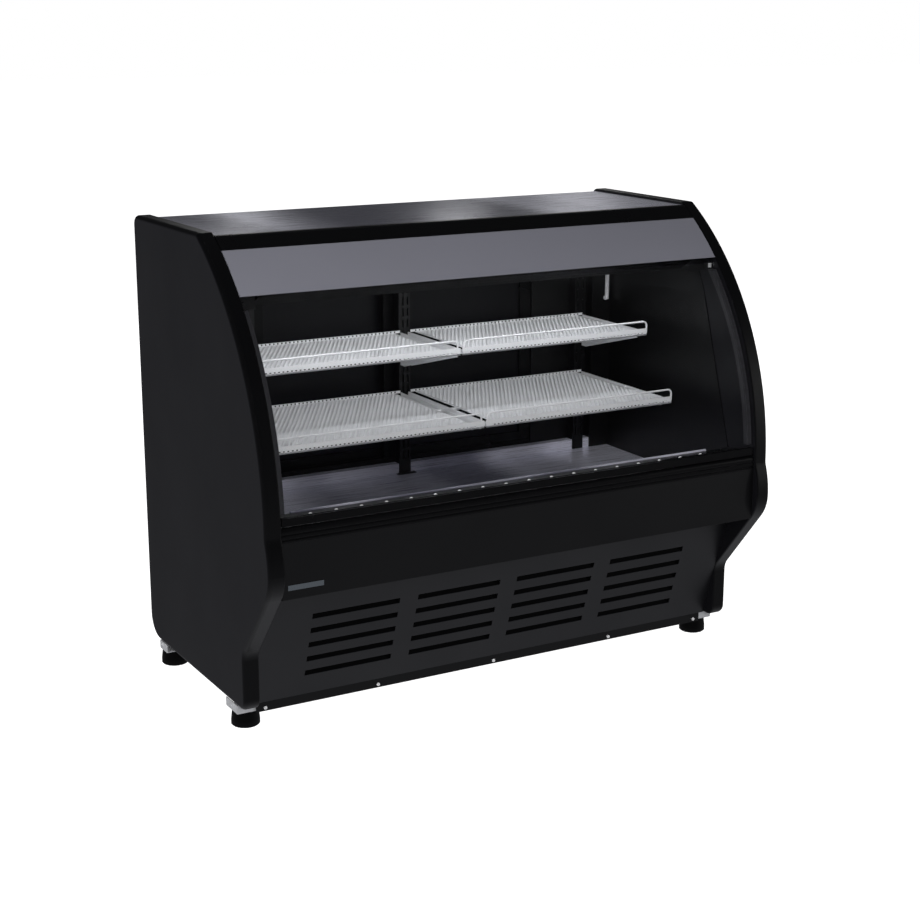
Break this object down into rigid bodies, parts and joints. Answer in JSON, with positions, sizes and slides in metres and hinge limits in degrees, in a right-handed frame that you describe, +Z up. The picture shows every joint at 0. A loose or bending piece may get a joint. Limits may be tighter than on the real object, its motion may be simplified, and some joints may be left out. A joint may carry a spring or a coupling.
{
  "type": "refrigerated deli case",
  "caption": "Curved-glass serve-over refrigerated display case with moulded side panels, tilting front glass, wire-railed shelves, louvred front base and rear sliding doors.",
  "frame": {"origin": "on the floor, under the middle of the bounding box", "axes": "+X to the right as the customer sees it, +Y towards the server at the back, +Z up"},
  "size_m": [1.5, 0.84, 1.24],
  "materials": {
    "side_moulding": "satin",
    "black_extrusion": "satin",
    "grey_fascia": "satin",
    "black_sheet": "satin",
    "black_plastic": "matte",
    "lamp_diffuser": "satin",
    "clear_glass": "gloss",
    "door_glass": "gloss",
    "grey_seal": "matte",
    "zinc": "satin",
    "stainless": "satin",
    "badge_metal": "satin",
    "black_well": "matte",
    "black_liner": "satin",
    "white_coat": "satin",
    "white_plastic": "satin",
    "machine_black": "satin",
    "coil_fins": "satin",
    "switch_red": "gloss",
    "foot_black": "satin"
  },
  "bodies": {
    "case": {"badge_plate": "badge_metal", "base_frame": "black_sheet", "base_rail_screws": "zinc", "blower_mounts": "black_plastic", "canopy_ceiling": "black_sheet", "canopy_fascia": "grey_fascia", "canopy_lamp": "lamp_diffuser", "centre_post": "black_sheet", "compressor": "machine_black", "condenser_coil": "coil_fins", "condenser_fan_mount": "machine_black", "control_plate": "black_plastic", "deck_pan": "stainless", "door_tracks": "black_extrusion", "drain_pipe": "white_plastic", "evaporator_coil": "coil_fins", "foot_bolts": "zinc", "foot_brackets": "zinc", "front_nose_profile": "black_extrusion", "glass_gaskets": "grey_seal", "glass_stops": "zinc", "insulated_well": "black_well", "lamp_holders": "black_plastic", "ledge_rivets": "stainless", "lower_grille_panel": "black_sheet", "power_inlet": "black_plastic", "rear_frame": "black_liner", "rear_service_panel": "black_sheet", "sensor_sleeve": "white_plastic", "shelf_brackets": "white_coat", "shelf_lower_left": "white_coat", "shelf_lower_right": "white_coat", "shelf_rail_lower_left": "white_coat", "shelf_rail_lower_right": "white_coat", "shelf_rail_upper_left": "white_coat", "shelf_rail_upper_right": "white_coat", "shelf_standards": "black_sheet", "shelf_upper_left": "white_coat", "shelf_upper_right": "white_coat", "side_liners": "black_liner", "side_panel_left": "side_moulding", "side_panel_right": "side_moulding", "top_front_bar": "black_extrusion", "top_sheet": "stainless", "upper_front_panel": "black_sheet", "well_lip": "stainless"},
    "front_glass": {"front_glass": "clear_glass", "glass_hinge_rail": "black_extrusion"},
    "door_left": {"door_left_frame": "black_extrusion", "door_left_glass": "door_glass"},
    "door_right": {"door_right_frame": "black_extrusion", "door_right_glass": "door_glass"},
    "foot_front_left": {"foot_front_left": "foot_black"},
    "foot_front_right": {"foot_front_right": "foot_black"},
    "foot_rear_left": {"foot_rear_left": "foot_black"},
    "foot_rear_right": {"foot_rear_right": "foot_black"},
    "condenser_fan": {"condenser_fan": "black_plastic"},
    "evaporator_blower": {"evaporator_blower": "black_plastic"},
    "thermostat_knob": {"thermostat_knob": "black_plastic"},
    "power_switch": {"power_switch": "switch_red"}
  },
  "joints": [
    {"name": "front_glass_tilt", "type": "hinge", "parent": "case", "child": "front_glass", "pos_m": [0, -0.388, 0.592], "axis": [1, 0, 0], "range_deg": [0, 60]},
    {"name": "door_left_slide", "type": "slide", "parent": "case", "child": "door_left", "axis": [1, 0, 0], "range_m": [0, 0.38]},
    {"name": "door_right_slide", "type": "slide", "parent": "case", "child": "door_right", "axis": [-1, 0, 0], "range_m": [0, 0.38]},
    {"name": "condenser_fan_spin", "type": "hinge", "parent": "case", "child": "condenser_fan", "pos_m": [-0.06, -0.054, 0.19], "axis": [0, 1, 0], "continuous": true},
    {"name": "evaporator_blower_spin", "type": "hinge", "parent": "case", "child": "evaporator_blower", "pos_m": [0, -0.15, 0.422], "axis": [1, 0, 0], "continuous": true},
    {"name": "thermostat_knob_turn", "type": "hinge", "parent": "case", "child": "thermostat_knob", "pos_m": [0.435, 0.405, 0.29], "axis": [0, 1, 0], "range_deg": [0, 270]},
    {"name": "power_switch_rock", "type": "hinge", "parent": "case", "child": "power_switch", "pos_m": [0.525, 0.4028, 0.29], "axis": [-1, 0, 0], "range_deg": [0, 14]},
    {"name": "foot_front_left_screw", "type": "slide", "parent": "case", "child": "foot_front_left", "axis": [0, 0, -1], "range_m": [0, 0.02]},
    {"name": "foot_front_right_screw", "type": "slide", "parent": "case", "child": "foot_front_right", "axis": [0, 0, -1], "range_m": [0, 0.02]},
    {"name": "foot_rear_left_screw", "type": "slide", "parent": "case", "child": "foot_rear_left", "axis": [0, 0, -1], "range_m": [0, 0.02]},
    {"name": "foot_rear_right_screw", "type": "slide", "parent": "case", "child": "foot_rear_right", "axis": [0, 0, -1], "range_m": [0, 0.02]}
  ]
}
